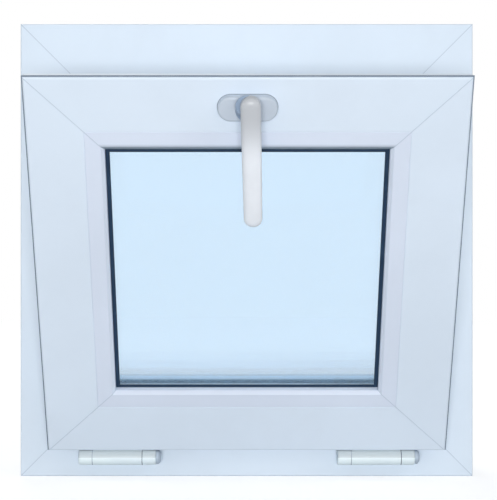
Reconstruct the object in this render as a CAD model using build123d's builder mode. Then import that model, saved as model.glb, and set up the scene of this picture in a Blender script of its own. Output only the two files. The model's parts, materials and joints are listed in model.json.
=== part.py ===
import os
from math import atan2, cos, degrees, radians, sin, sqrt

from build123d import *

# A small white uPVC window that tilts inwards on two hinges at its lower edge.
# X runs to the right as seen from the room, Y runs outwards through the wall
# and Z runs up. The origin is the middle of the frame's sill face.
# Every sash piece is drawn where it stands in the closed window and then
# carried to the open position about the hinge axis.

# Overall size and opening angle
WIDTH = 550.0
HEIGHT = 550.0
OPENING_ANGLE = 25.0

# Outer frame profile
FRAME_DEPTH = 70.0
FRAME_FACE = 64.0
STOP_DEPTH = 18.0
STOP_HEIGHT = 20.0
STOP_BEVEL = 6.0
STOP_BEVEL_DEPTH = 12.0
CLIP_GROOVE_WIDTH = 8.0
CLIP_GROOVE_DEPTH = 3.0
CLIP_GROOVE_OFFSET = 18.0
FRAME_EDGE_RADIUS = 1.6
FRAME_INNER_RADIUS = 1.6

# Sash profile
OVERLAP = 27.0
REBATE_GAP = 12.0
SASH_PROUD = 17.0
LIP_CLEARANCE = 5.0
STOP_CLEARANCE = 5.0
RAIL_FACE = 62.0
SASH_LEG_THICKNESS = 26.0
SASH_LEG_HEIGHT = 13.0
SASH_LEG_BEVEL = 8.0
SASH_EDGE_RADIUS = 2.2
SASH_INNER_RADIUS = 0.5
MITRE_GROOVE = 0.35

# Hardware groove round the sash edge
GROOVE_WIDTH = 16.0
GROOVE_DEPTH = 3.0
GROOVE_FROM_FACE = 30.0

# Glazing bead
BEAD_FACE = 21.5
BEAD_DEPTH = 10.0
BEAD_CHAMFER = 4.0
BEAD_CHAMFER_DEPTH = 3.5
BEAD_RADIUS = 0.8
BEAD_FOOT_THICKNESS = 3.5
BEAD_FOOT_DEPTH = 7.0
BEAD_LINE = 0.6

# Double glazing
PANE_THICKNESS = 4.0
PANE_SPACING = 14.0
GLASS_CLEARANCE = 5.0
SPACER_WIDTH = 5.0
EDGE_SEAL_WIDTH = 3.5
GASKET_THICKNESS = 3.0
GASKET_COVER = 16.0
GASKET_DROP = 1.5
OUTER_GASKET_COVER = 10.0
GASKET_SHOWING = 4.5
OUTER_GASKET_SHOWING = 3.0

# Weather seals
SEAL_WIDTH = 5.0
SEAL_GAP = 0.6
SEAL_ROUNDING = 1.8
SEAL_FROM_EDGE = 2.0
SASH_SEAL_SHOWING = 1.3
SASH_SEAL_OVER_HINGES = 0.5

# Hinges
HINGE_LENGTH = 93.0
HINGE_FROM_SIDE = 119.5
HINGE_RADIUS = 9.5
HINGE_FORWARD = 15.0
HINGE_AXIS_HEIGHT = 26.5
HINGE_END_LENGTH = 17.0
HINGE_SEAM = 0.8
HINGE_PIN_RADIUS = 4.0
HINGE_PIN_CLEARANCE = 0.08
HINGE_PIN_HEAD_RADIUS = 8.3
HINGE_PIN_HEAD_LENGTH = 5.5
HINGE_PIN_HEAD_BEVEL = 2.5
HINGE_LEAF_THICKNESS = 2.5
HINGE_WEB_THICKNESS = 8.0
HINGE_CAP_ROUNDING = 2.0

# Handle
HANDLE_DROP = 33.0
ROSETTE_LENGTH = 64.0
ROSETTE_WIDTH = 28.0
ROSETTE_THICKNESS = 9.0
ROSETTE_CORNER = 13.0
ROSETTE_ROUNDING = 2.5
ROSETTE_HOLE_RADIUS = 10.1
HANDLE_RUNNING_GAP = 0.4
NECK_RADIUS = 13.0
COLLAR_RADIUS = 10.0
COLLAR_LENGTH = 4.0
NECK_TOP_RADIUS = 10.3
LEVER_BACK = 23.0
LEVER_THICKNESS = 13.0
LEVER_HEAD_RADIUS = 10.9
LEVER_TIP_RADIUS = 10.1
LEVER_HEAD_OFFSET = 3.0
LEVER_HEAD_RISE = 10.8
LEVER_TIP_OFFSET = 6.0
LEVER_TIP_DROP = 114.5
LEVER_ROUNDING = 4.5
LEVER_BACK_ROUNDING = 2.5
SPINDLE_SIDE = 7.0
SPINDLE_LENGTH = 16.0
SPINDLE_BORE_RADIUS = 6.0

# Lock rail in the sash's top edge, and the keeps on the frame head
LOCK_RAIL_FROM_END = 78.0
LOCK_RAIL_THICKNESS = 2.5
CAM_RADIUS = 5.0
CAM_HEIGHT = 5.0
CAM_FROM_END = 128.0
KEEP_LENGTH = 34.0
KEEP_WIDTH = 12.0
KEEP_HEIGHT = 3.5
KEEP_BESIDE_CAM = 30.0
KEEP_CORNER = 2.0

# Stays in the gap between the sash and the jambs
STAY_PIVOT_HEIGHT = 150.0
STAY_LENGTH = 200.0
STAY_WIDTH = 14.0
STAY_THICKNESS = 2.5
STAY_PIN_RADIUS = 4.0
STAY_PIN_CLEARANCE = 0.1
STAY_PIN_HEAD_RADIUS = 5.5
STAY_PIN_HEAD_LENGTH = 0.9
STAY_STUD_RADIUS = 3.0
STAY_STUD_REACH = 3.5
STAY_BRACKET_LENGTH = 50.0
STAY_BRACKET_WIDTH = 14.0
STAY_BRACKET_THICKNESS = 2.5
STAY_BOSS_RADIUS = 6.5
GUIDE_LENGTH = 90.0
GUIDE_SLOT_WIDTH = 10.0
GUIDE_SLOT_MARGIN = 6.0
GUIDE_POCKET_DEPTH = 7.0
GUIDE_THICKNESS = 2.5

# Fixing holes through the jambs, and the drain caps on the outside
FIXING_FROM_CORNER = 125.0
FIXING_RADIUS = 3.25
FIXING_HEAD_RADIUS = 6.0
DRAIN_FROM_SIDE = 125.0
DRAIN_HEIGHT = 24.0
DRAIN_CAP_LENGTH = 42.0
DRAIN_CAP_WIDTH = 12.0
DRAIN_CAP_THICKNESS = 4.0
DRAIN_CAP_ROUNDING = 1.5

# Depths through the wall, measured along Y
ROOM_FACE = -FRAME_DEPTH / 2
OUTER_FACE = FRAME_DEPTH / 2
STOP_FRONT = OUTER_FACE - STOP_DEPTH
SASH_ROOM_FACE = ROOM_FACE - SASH_PROUD
SASH_LIP_BACK = ROOM_FACE - LIP_CLEARANCE
SASH_BACK = STOP_FRONT - STOP_CLEARANCE
BEAD_BACK = SASH_ROOM_FACE + BEAD_DEPTH
INNER_PANE_FRONT = BEAD_BACK + GASKET_THICKNESS
OUTER_PANE_FRONT = INNER_PANE_FRONT + PANE_THICKNESS + PANE_SPACING
GLAZING_BACK = OUTER_PANE_FRONT + PANE_THICKNESS
LEG_FRONT = SASH_BACK - SASH_LEG_THICKNESS
OUTER_GASKET_THICKNESS = LEG_FRONT - GLAZING_BACK
GROOVE_LINE = SASH_ROOM_FACE + GROOVE_FROM_FACE

# Distances in from the frame's outer edge
STOP_EDGE = FRAME_FACE + STOP_HEIGHT
SASH_MARGIN = FRAME_FACE - OVERLAP
LIP_WIDTH = OVERLAP + REBATE_GAP
LIP_THICKNESS = SASH_LIP_BACK - SASH_ROOM_FACE

# Distances in from the sash's outer edge
BEAD_EDGE = RAIL_FACE + BEAD_FACE
GLASS_EDGE = RAIL_FACE + GLASS_CLEARANCE
LEG_EDGE = RAIL_FACE + SASH_LEG_HEIGHT
GROOVE_FLOOR = LIP_WIDTH + GROOVE_DEPTH

SASH_WIDTH = WIDTH - 2 * SASH_MARGIN
SASH_HEIGHT = HEIGHT - 2 * SASH_MARGIN
CENTRE_HEIGHT = HEIGHT / 2
HANDLE_HEIGHT = HEIGHT - SASH_MARGIN - HANDLE_DROP

# The hinge axis, and the turn that opens the sash about it
AXIS_DEPTH = ROOM_FACE - HINGE_FORWARD
OPENING = (
    Pos(0, AXIS_DEPTH, HINGE_AXIS_HEIGHT)
    * Rot(OPENING_ANGLE, 0, 0)
    * Pos(0, -AXIS_DEPTH, -HINGE_AXIS_HEIGHT)
)


def opened(plane):
    """The plane carried from the closed sash to the open one."""
    return Plane(OPENING * plane.location)


def side_plane(name, width, height):
    """Section plane of one bar: x is the depth, y points into the window."""
    places = {
        "bottom": ((0, 0, CENTRE_HEIGHT - height / 2), (1, 0, 0)),
        "top": ((0, 0, CENTRE_HEIGHT + height / 2), (-1, 0, 0)),
        "left": ((-width / 2, 0, CENTRE_HEIGHT), (0, 0, -1)),
        "right": ((width / 2, 0, CENTRE_HEIGHT), (0, 0, 1)),
    }
    origin, along = places[name]
    return Plane(origin, x_dir=(0, 1, 0), z_dir=along)


def half_length(name, width, height):
    """Half the outer length of the bar on this side."""
    return width / 2 if name in ("bottom", "top") else height / 2


def mitre_planes(plane, half):
    """Planes of the two 45 degree cuts at a bar's ends, facing its middle."""
    planes = []
    for end in (-1, 1):
        corner = plane.from_local_coords((0, 0, end * half))
        towards_middle = plane.y_dir * -1 - plane.z_dir * end
        planes.append(Plane(corner, x_dir=plane.x_dir, z_dir=towards_middle))
    return planes


def cut_mitres(plane, half, grooved_depths):
    """Mitre both ends of the bar being built, with a fine groove at these depths."""
    for mitre in mitre_planes(plane, half):
        split(bisect_by=mitre, keep=Keep.TOP)
    for mitre in mitre_planes(plane, half):
        with BuildSketch(mitre) as strips:
            for depth in grooved_depths:
                with Locations((depth, 0)):
                    Rectangle(2 * MITRE_GROOVE, 2 * half)
        extrude(strips.sketch, amount=MITRE_GROOVE, mode=Mode.SUBTRACT)


def ring(plane, width, height, bar_width, thickness, rounding=0.0):
    """A rectangular ring on a plane, its front edges rounded if asked."""
    with BuildPart() as made:
        with BuildSketch(plane):
            Rectangle(width, height)
            Rectangle(width - 2 * bar_width, height - 2 * bar_width, mode=Mode.SUBTRACT)
        extrude(amount=thickness)
        if rounding:
            front = made.faces().sort_by(lambda face: face.center().dot(plane.z_dir))[-1]
            fillet(front.edges(), rounding)
    return made.part


def hand_in(part, node):
    """Label a finished piece and write its file."""
    part.label = node
    export_step(part, f"parts/{node}.step")


os.makedirs("parts", exist_ok=True)
SIDES = {"bottom": "sill", "top": "head", "left": "jamb_left", "right": "jamb_right"}
SASH_SIDES = {"bottom": "bottom_rail", "top": "top_rail", "left": "stile_left", "right": "stile_right"}
HANDS = {"left": -1, "right": 1}

# Heights of the fixing holes in the jambs, and where the stays turn
FIXING_HEIGHTS = (FIXING_FROM_CORNER, HEIGHT - FIXING_FROM_CORNER)
STAY_DEPTH = GROOVE_LINE - AXIS_DEPTH
STAY_PIVOT_Z = HINGE_AXIS_HEIGHT + STAY_PIVOT_HEIGHT


def stay_reach(angle):
    """Height of the stay's stud above the hinge axis, measured along the sash."""
    turn = radians(angle)
    slope = STAY_DEPTH * sin(turn) - STAY_PIVOT_HEIGHT * cos(turn)
    rest = 2 * STAY_DEPTH**2 * (1 - cos(turn)) + STAY_PIVOT_HEIGHT**2 - STAY_LENGTH**2
    rest -= 2 * STAY_PIVOT_HEIGHT * STAY_DEPTH * sin(turn)
    return -slope + sqrt(slope**2 - rest)


# The stay's lean when the sash is open
OPEN_TURN = radians(OPENING_ANGLE)
STUD_OPEN = stay_reach(OPENING_ANGLE)
STUD_CLOSED = stay_reach(0)
STUD_OUT = STAY_DEPTH - (STAY_DEPTH * cos(OPEN_TURN) - STUD_OPEN * sin(OPEN_TURN))
STUD_UP = STAY_DEPTH * sin(OPEN_TURN) + STUD_OPEN * cos(OPEN_TURN) - STAY_PIVOT_HEIGHT
STAY_LEAN = degrees(atan2(STUD_OUT, STUD_UP))
print(f"stay leans {STAY_LEAN:.4f} degrees, {STAY_LEAN / OPENING_ANGLE:.5f} times the sash")

# Outer frame: four mitred bars of one profile
for side, bar_name in SIDES.items():
    section = side_plane(side, WIDTH, HEIGHT)
    half = half_length(side, WIDTH, HEIGHT)
    with BuildPart() as frame_bar:
        with BuildSketch(section):
            with BuildLine():
                FilletPolyline(
                    (ROOM_FACE, 0),
                    (ROOM_FACE, FRAME_FACE),
                    (STOP_FRONT, FRAME_FACE),
                    (STOP_FRONT, STOP_EDGE),
                    (OUTER_FACE - STOP_BEVEL_DEPTH, STOP_EDGE),
                    (OUTER_FACE, STOP_EDGE - STOP_BEVEL),
                    (OUTER_FACE, 0),
                    radius=[
                        FRAME_EDGE_RADIUS,
                        FRAME_INNER_RADIUS,
                        0,
                        FRAME_EDGE_RADIUS,
                        FRAME_EDGE_RADIUS,
                        FRAME_EDGE_RADIUS,
                        FRAME_EDGE_RADIUS,
                    ],
                    close=True,
                )
            make_face()
            with Locations((-CLIP_GROOVE_OFFSET, 0), (CLIP_GROOVE_OFFSET, 0)):
                Rectangle(CLIP_GROOVE_WIDTH, 2 * CLIP_GROOVE_DEPTH, mode=Mode.SUBTRACT)
        extrude(amount=half, both=True)
        cut_mitres(section, half, (ROOM_FACE, OUTER_FACE))
        if side in HANDS:
            floor = section.from_local_coords((0, FRAME_FACE, 0))
            for height in FIXING_HEIGHTS:
                hole = Plane((floor.X, 0, height), x_dir=(0, 1, 0), z_dir=section.y_dir)
                with Locations(hole):
                    CounterSinkHole(FIXING_RADIUS, FIXING_HEAD_RADIUS, depth=FRAME_FACE)
    hand_in(frame_bar.part, f"frame_{bar_name}")

# Sash: four mitred bars with an overlap lip, a glazing rebate and a hardware groove
for side, bar_name in SASH_SIDES.items():
    section = opened(side_plane(side, SASH_WIDTH, SASH_HEIGHT))
    half = half_length(side, SASH_WIDTH, SASH_HEIGHT)
    with BuildPart() as sash_bar:
        with BuildSketch(section):
            with BuildLine():
                FilletPolyline(
                    (SASH_ROOM_FACE, 0),
                    (SASH_ROOM_FACE, RAIL_FACE),
                    (LEG_FRONT, RAIL_FACE),
                    (LEG_FRONT, LEG_EDGE),
                    (LEG_FRONT + SASH_LEG_BEVEL, LEG_EDGE),
                    (SASH_BACK, LEG_EDGE - SASH_LEG_BEVEL),
                    (SASH_BACK, LIP_WIDTH),
                    (SASH_LIP_BACK, LIP_WIDTH),
                    (SASH_LIP_BACK, 0),
                    radius=[
                        SASH_EDGE_RADIUS,
                        SASH_INNER_RADIUS,
                        0,
                        SASH_INNER_RADIUS,
                        SASH_INNER_RADIUS,
                        SASH_INNER_RADIUS,
                        SASH_INNER_RADIUS,
                        SASH_INNER_RADIUS,
                        SASH_INNER_RADIUS,
                    ],
                    close=True,
                )
            make_face()
            with Locations((GROOVE_LINE, LIP_WIDTH)):
                Rectangle(GROOVE_WIDTH, 2 * GROOVE_DEPTH, mode=Mode.SUBTRACT)
        extrude(amount=half, both=True)
        cut_mitres(section, half, (SASH_ROOM_FACE, SASH_BACK))
        if side in HANDS:
            # Pocket behind the stay guide for the tail of the stud
            floor_x = HANDS[side] * (SASH_WIDTH / 2 - GROOVE_FLOOR)
            slot_middle = HINGE_AXIS_HEIGHT + (STUD_OPEN + STUD_CLOSED) / 2
            pocket = Plane((floor_x, GROOVE_LINE, slot_middle), x_dir=(0, 0, 1), z_dir=(-HANDS[side], 0, 0))
            with BuildSketch(opened(pocket)):
                SlotCenterToCenter(STUD_CLOSED - STUD_OPEN + 2 * GUIDE_SLOT_MARGIN, GUIDE_SLOT_WIDTH)
            extrude(amount=GUIDE_POCKET_DEPTH, mode=Mode.SUBTRACT)
        if side == "top":
            bore = Plane((0, SASH_ROOM_FACE, HANDLE_HEIGHT), x_dir=(1, 0, 0), z_dir=(0, -1, 0))
            with Locations(opened(bore)):
                Hole(SPINDLE_BORE_RADIUS, depth=LIP_THICKNESS)
    hand_in(sash_bar.part, f"sash_{bar_name}")

# Glazing beads with a bevelled edge towards the glass and a foot in the rebate
for side in SASH_SIDES:
    section = opened(side_plane(side, SASH_WIDTH, SASH_HEIGHT))
    half = half_length(side, SASH_WIDTH, SASH_HEIGHT)
    with BuildPart() as bead:
        with BuildSketch(section):
            with BuildLine():
                FilletPolyline(
                    (SASH_ROOM_FACE, RAIL_FACE + BEAD_LINE),
                    (SASH_ROOM_FACE, BEAD_EDGE - BEAD_CHAMFER),
                    (SASH_ROOM_FACE + BEAD_CHAMFER_DEPTH, BEAD_EDGE),
                    (BEAD_BACK, BEAD_EDGE),
                    (BEAD_BACK, RAIL_FACE + BEAD_FOOT_THICKNESS),
                    (BEAD_BACK + BEAD_FOOT_DEPTH, RAIL_FACE + BEAD_FOOT_THICKNESS),
                    (BEAD_BACK + BEAD_FOOT_DEPTH, RAIL_FACE),
                    (SASH_ROOM_FACE + BEAD_LINE, RAIL_FACE),
                    radius=[0, BEAD_RADIUS, BEAD_RADIUS, 0, 0, 0, 0, 0],
                    close=True,
                )
            make_face()
        extrude(amount=half, both=True)
        cut_mitres(section, half, (SASH_ROOM_FACE,))
    hand_in(bead.part, f"bead_{side}")

# Double glazing: two panes, the spacer bar and the seal round the edge
glass_width = SASH_WIDTH - 2 * GLASS_EDGE
glass_height = SASH_HEIGHT - 2 * GLASS_EDGE


def glazing_plane(depth):
    """Plane of the sash at a depth through the wall, facing outdoors."""
    return opened(Plane((0, depth, CENTRE_HEIGHT), x_dir=(-1, 0, 0), z_dir=(0, 1, 0)))


for pane_name, depth in (("glass_inner_pane", INNER_PANE_FRONT), ("glass_outer_pane", OUTER_PANE_FRONT)):
    with BuildPart() as pane:
        with BuildSketch(glazing_plane(depth)):
            Rectangle(glass_width, glass_height)
        extrude(amount=PANE_THICKNESS)
    hand_in(pane.part, pane_name)

spacer_front = glazing_plane(INNER_PANE_FRONT + PANE_THICKNESS)
seal_part = ring(spacer_front, glass_width, glass_height, EDGE_SEAL_WIDTH, PANE_SPACING)
hand_in(seal_part, "glass_edge_seal")
spacer_width = glass_width - 2 * EDGE_SEAL_WIDTH
spacer_height = glass_height - 2 * EDGE_SEAL_WIDTH
spacer_part = ring(spacer_front, spacer_width, spacer_height, SPACER_WIDTH, PANE_SPACING)
hand_in(spacer_part, "glass_spacer")

# Glazing gaskets on both sides of the glass; the inner one sits a little low in the sash
inner_gasket_width = SASH_WIDTH - 2 * (BEAD_EDGE + GASKET_SHOWING) + 2 * GASKET_COVER
inner_gasket_height = SASH_HEIGHT - 2 * (BEAD_EDGE + GASKET_SHOWING) + 2 * GASKET_COVER
pane_plane = glazing_plane(INNER_PANE_FRONT)
inner_gasket_middle = pane_plane.from_local_coords((0, -GASKET_DROP, 0))
inner_gasket = ring(
    Plane(inner_gasket_middle, x_dir=pane_plane.x_dir, z_dir=pane_plane.z_dir * -1),
    inner_gasket_width,
    inner_gasket_height,
    GASKET_COVER,
    GASKET_THICKNESS,
)
hand_in(inner_gasket, "glazing_gasket_inner")
outer_gasket_width = SASH_WIDTH - 2 * (LEG_EDGE + OUTER_GASKET_SHOWING) + 2 * OUTER_GASKET_COVER
outer_gasket_height = SASH_HEIGHT - 2 * (LEG_EDGE + OUTER_GASKET_SHOWING) + 2 * OUTER_GASKET_COVER
outer_gasket = ring(
    glazing_plane(GLAZING_BACK),
    outer_gasket_width,
    outer_gasket_height,
    OUTER_GASKET_COVER,
    OUTER_GASKET_THICKNESS,
)
hand_in(outer_gasket, "glazing_gasket_outer")

# Weather seals: one on the frame's stop, one behind the sash lip
frame_seal = ring(
    Plane((0, STOP_FRONT, CENTRE_HEIGHT), x_dir=(1, 0, 0), z_dir=(0, -1, 0)),
    WIDTH - 2 * (STOP_EDGE - SEAL_FROM_EDGE - SEAL_WIDTH),
    HEIGHT - 2 * (STOP_EDGE - SEAL_FROM_EDGE - SEAL_WIDTH),
    SEAL_WIDTH,
    STOP_CLEARANCE - SEAL_GAP,
    SEAL_ROUNDING,
)
hand_in(frame_seal, "frame_seal")
# The sash's seal shows less along the bottom, where it passes over the hinges
sash_seal_plane = glazing_plane(SASH_LIP_BACK)
sash_seal_rise = (SASH_SEAL_SHOWING - SASH_SEAL_OVER_HINGES) / 2
sash_seal_plane.origin = sash_seal_plane.from_local_coords((0, sash_seal_rise, 0))
sash_seal = ring(
    sash_seal_plane,
    SASH_WIDTH + 2 * SASH_SEAL_SHOWING,
    SASH_HEIGHT + SASH_SEAL_SHOWING + SASH_SEAL_OVER_HINGES,
    SEAL_WIDTH,
    LIP_CLEARANCE - SEAL_GAP,
    SEAL_ROUNDING,
)
hand_in(sash_seal, "sash_seal")

# Hinges: a frame part with two end knuckles, a sash part between them and a pin
barrel_length = HINGE_LENGTH - 2 * HINGE_END_LENGTH
for hand, sign in HANDS.items():
    centre_x = sign * (WIDTH / 2 - HINGE_FROM_SIDE)
    axis_plane = Plane((centre_x, AXIS_DEPTH, HINGE_AXIS_HEIGHT), x_dir=(0, 1, 0), z_dir=(1, 0, 0))
    knuckle_depth = HINGE_FORWARD - HINGE_LEAF_THICKNESS
    with BuildPart() as frame_part:
        with BuildSketch(axis_plane):
            with Locations((HINGE_FORWARD - HINGE_LEAF_THICKNESS / 2, 0)):
                Rectangle(HINGE_LEAF_THICKNESS, 2 * HINGE_RADIUS)
        extrude(amount=HINGE_LENGTH / 2, both=True)
        for end in (-1, 1):
            end_plane = axis_plane.offset(end * HINGE_LENGTH / 2)
            with BuildSketch(end_plane):
                Circle(HINGE_RADIUS)
                with Locations((knuckle_depth / 2, 0)):
                    Rectangle(knuckle_depth, 2 * HINGE_RADIUS)
            extrude(amount=-end * (HINGE_END_LENGTH - HINGE_SEAM))
        ends = frame_part.faces().filter_by(Axis.X).group_by(Axis.X)
        for end_faces in (ends[0], ends[-1]):
            rim = end_faces.edges().sort_by(Axis.Y)[:-1]
            fillet(rim, HINGE_CAP_ROUNDING)
        with BuildSketch(axis_plane):
            Circle(HINGE_PIN_RADIUS + HINGE_PIN_CLEARANCE)
        extrude(amount=HINGE_LENGTH, both=True, mode=Mode.SUBTRACT)
    hand_in(frame_part.part, f"hinge_{hand}_frame_part")

    sash_axis = opened(axis_plane)
    web_top = SASH_MARGIN - HINGE_AXIS_HEIGHT
    web_middle = (SASH_ROOM_FACE + SASH_LIP_BACK) / 2 - AXIS_DEPTH
    with BuildPart() as sash_part:
        with BuildSketch(sash_axis):
            Circle(HINGE_RADIUS)
            with Locations((web_middle, web_top / 2)):
                Rectangle(HINGE_WEB_THICKNESS, web_top)
            Circle(HINGE_PIN_RADIUS + HINGE_PIN_CLEARANCE, mode=Mode.SUBTRACT)
        extrude(amount=barrel_length / 2, both=True)
    hand_in(sash_part.part, f"hinge_{hand}_sash_part")

    with BuildPart() as pin:
        with BuildSketch(axis_plane.offset(-HINGE_LENGTH / 2)):
            Circle(HINGE_PIN_RADIUS)
        extrude(amount=HINGE_LENGTH)
        with BuildSketch(axis_plane.offset(HINGE_LENGTH / 2)):
            Circle(HINGE_PIN_HEAD_RADIUS)
        extrude(amount=HINGE_PIN_HEAD_LENGTH)
        chamfer(pin.edges().filter_by(GeomType.CIRCLE).sort_by(Axis.X)[-1], HINGE_PIN_HEAD_BEVEL)
    hand_in(pin.part, f"hinge_{hand}_pin")

# Handle: the rosette on the sash, and the lever with its neck and collar
rosette_plane = opened(Plane((0, SASH_ROOM_FACE, HANDLE_HEIGHT), x_dir=(1, 0, 0), z_dir=(0, -1, 0)))
with BuildPart() as rosette:
    with BuildSketch(rosette_plane):
        RectangleRounded(ROSETTE_LENGTH, ROSETTE_WIDTH, ROSETTE_CORNER)
    extrude(amount=ROSETTE_THICKNESS)
    rosette_front = rosette.faces().sort_by(lambda face: face.center().dot(rosette_plane.z_dir))[-1]
    fillet(rosette_front.edges(), ROSETTE_ROUNDING)
    with Locations(rosette_plane.offset(ROSETTE_THICKNESS)):
        Hole(ROSETTE_HOLE_RADIUS)
hand_in(rosette.part, "handle_rosette")

neck_base = ROSETTE_THICKNESS + HANDLE_RUNNING_GAP
with BuildPart() as grip:
    with BuildSketch(rosette_plane.offset(LEVER_BACK)):
        with Locations((LEVER_HEAD_OFFSET, LEVER_HEAD_RISE)):
            Circle(LEVER_HEAD_RADIUS)
        with Locations((LEVER_TIP_OFFSET, -LEVER_TIP_DROP)):
            Circle(LEVER_TIP_RADIUS)
        make_hull()
    extrude(amount=LEVER_THICKNESS)
    grip_front = grip.faces().sort_by(lambda face: face.center().dot(rosette_plane.z_dir))[-1]
    fillet(grip_front.edges(), LEVER_ROUNDING)
    grip_back = grip.faces().sort_by(lambda face: face.center().dot(rosette_plane.z_dir))[0]
    fillet(grip_back.edges(), LEVER_BACK_ROUNDING)

with BuildPart() as lever:
    with BuildSketch(rosette_plane.offset(neck_base)):
        Circle(NECK_RADIUS)
    with BuildSketch(rosette_plane.offset(LEVER_BACK)):
        with Locations((LEVER_HEAD_OFFSET, LEVER_HEAD_RISE)):
            Circle(NECK_TOP_RADIUS)
    loft()
    with BuildSketch(rosette_plane.offset(neck_base)):
        Circle(COLLAR_RADIUS)
    extrude(amount=-COLLAR_LENGTH)
    add(grip.part)
hand_in(lever.part, "handle_lever")

with BuildPart() as spindle:
    with BuildSketch(rosette_plane.offset(neck_base - COLLAR_LENGTH)):
        Rectangle(SPINDLE_SIDE, SPINDLE_SIDE)
    extrude(amount=-SPINDLE_LENGTH)
hand_in(spindle.part, "handle_spindle")

# Lock rail in the top groove with two cams, and the keeps on the frame head
groove_floor_z = CENTRE_HEIGHT + SASH_HEIGHT / 2 - GROOVE_FLOOR
rail_plane = opened(Plane((0, GROOVE_LINE, groove_floor_z), x_dir=(1, 0, 0), z_dir=(0, 0, 1)))
with BuildPart() as lock_rail:
    with BuildSketch(rail_plane):
        Rectangle(SASH_WIDTH - 2 * LOCK_RAIL_FROM_END, GROOVE_WIDTH)
    extrude(amount=LOCK_RAIL_THICKNESS)
hand_in(lock_rail.part, "lock_rail")

cam_x = SASH_WIDTH / 2 - CAM_FROM_END
for hand, sign in HANDS.items():
    with BuildPart() as cam:
        with BuildSketch(rail_plane.offset(LOCK_RAIL_THICKNESS)):
            with Locations((sign * cam_x, 0)):
                Circle(CAM_RADIUS)
        extrude(amount=CAM_HEIGHT)
    hand_in(cam.part, f"lock_cam_{hand}")

    keep_x = sign * (cam_x + KEEP_BESIDE_CAM)
    keep_plane = Plane((keep_x, GROOVE_LINE, HEIGHT - FRAME_FACE), x_dir=(1, 0, 0), z_dir=(0, 0, -1))
    with BuildPart() as keep:
        with BuildSketch(keep_plane):
            RectangleRounded(KEEP_LENGTH, KEEP_WIDTH, KEEP_CORNER)
        extrude(amount=KEEP_HEIGHT)
    hand_in(keep.part, f"keep_{hand}")

# Stays: bracket on the jamb, swinging arm and slotted guide on the sash
for hand, sign in HANDS.items():
    jamb_floor = sign * (WIDTH / 2 - FRAME_FACE)
    sash_edge = sign * (SASH_WIDTH / 2 - LIP_WIDTH)
    arm_outer = (jamb_floor + sash_edge + sign * STAY_THICKNESS) / 2

    bracket_plane = Plane((jamb_floor, GROOVE_LINE, STAY_PIVOT_Z), x_dir=(0, 0, 1), z_dir=(-sign, 0, 0))
    boss_length = abs(jamb_floor - arm_outer) - STAY_BRACKET_THICKNESS - STAY_PIN_CLEARANCE
    pin_length = STAY_THICKNESS + 2 * STAY_PIN_CLEARANCE
    with BuildPart() as bracket:
        with BuildSketch(bracket_plane):
            RectangleRounded(STAY_BRACKET_LENGTH, STAY_BRACKET_WIDTH, KEEP_CORNER)
        extrude(amount=STAY_BRACKET_THICKNESS)
        with BuildSketch(bracket_plane.offset(STAY_BRACKET_THICKNESS)):
            Circle(STAY_BOSS_RADIUS)
        extrude(amount=boss_length)
        with BuildSketch(bracket_plane.offset(STAY_BRACKET_THICKNESS + boss_length)):
            Circle(STAY_PIN_RADIUS)
        extrude(amount=pin_length)
        with BuildSketch(bracket_plane.offset(STAY_BRACKET_THICKNESS + boss_length + pin_length)):
            Circle(STAY_PIN_HEAD_RADIUS)
        extrude(amount=STAY_PIN_HEAD_LENGTH)
    hand_in(bracket.part, f"stay_bracket_{hand}")

    lean = radians(STAY_LEAN)
    arm_plane = Plane(
        (arm_outer, GROOVE_LINE, STAY_PIVOT_Z), x_dir=(0, -sin(lean), cos(lean)), z_dir=(-sign, 0, 0)
    )
    with BuildPart() as arm:
        with BuildSketch(arm_plane):
            with Locations((STAY_LENGTH / 2, 0)):
                SlotCenterToCenter(STAY_LENGTH, STAY_WIDTH)
            Circle(STAY_PIN_RADIUS + STAY_PIN_CLEARANCE, mode=Mode.SUBTRACT)
        extrude(amount=STAY_THICKNESS)
        with BuildSketch(arm_plane.offset(STAY_THICKNESS)):
            with Locations((STAY_LENGTH, 0)):
                Circle(STAY_STUD_RADIUS)
        extrude(amount=abs(arm_outer - sash_edge) - STAY_THICKNESS + STAY_STUD_REACH)
    hand_in(arm.part, f"stay_arm_{hand}")

    slot_middle = HINGE_AXIS_HEIGHT + (STUD_OPEN + STUD_CLOSED) / 2
    floor_x = sign * (SASH_WIDTH / 2 - GROOVE_FLOOR)
    guide_plane = opened(Plane((floor_x, GROOVE_LINE, slot_middle), x_dir=(0, 0, 1), z_dir=(sign, 0, 0)))
    with BuildPart() as guide:
        with BuildSketch(guide_plane):
            Rectangle(GUIDE_LENGTH, GROOVE_WIDTH)
            SlotCenterToCenter(
                STUD_CLOSED - STUD_OPEN + 2 * GUIDE_SLOT_MARGIN, GUIDE_SLOT_WIDTH, mode=Mode.SUBTRACT
            )
        extrude(amount=GUIDE_THICKNESS)
    hand_in(guide.part, f"stay_guide_{hand}")

# Drain caps on the outside of the sill
for hand, sign in HANDS.items():
    cap_x = sign * (WIDTH / 2 - DRAIN_FROM_SIDE)
    cap_plane = Plane((cap_x, OUTER_FACE, DRAIN_HEIGHT), x_dir=(1, 0, 0), z_dir=(0, 1, 0))
    with BuildPart() as drain_cap:
        with BuildSketch(cap_plane):
            SlotOverall(DRAIN_CAP_LENGTH, DRAIN_CAP_WIDTH)
        extrude(amount=DRAIN_CAP_THICKNESS)
        cap_front = drain_cap.faces().sort_by(Axis.Y)[-1]
        fillet(cap_front.edges(), DRAIN_CAP_ROUNDING)
    hand_in(drain_cap.part, f"drain_cap_{hand}")
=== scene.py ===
"""A small bottom hung window, tilted in: the finishes of its parts and its fine pieces."""

import json
from math import cos, pi, radians, sin

import bmesh
import bpy
from mathutils import Matrix, Vector


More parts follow.
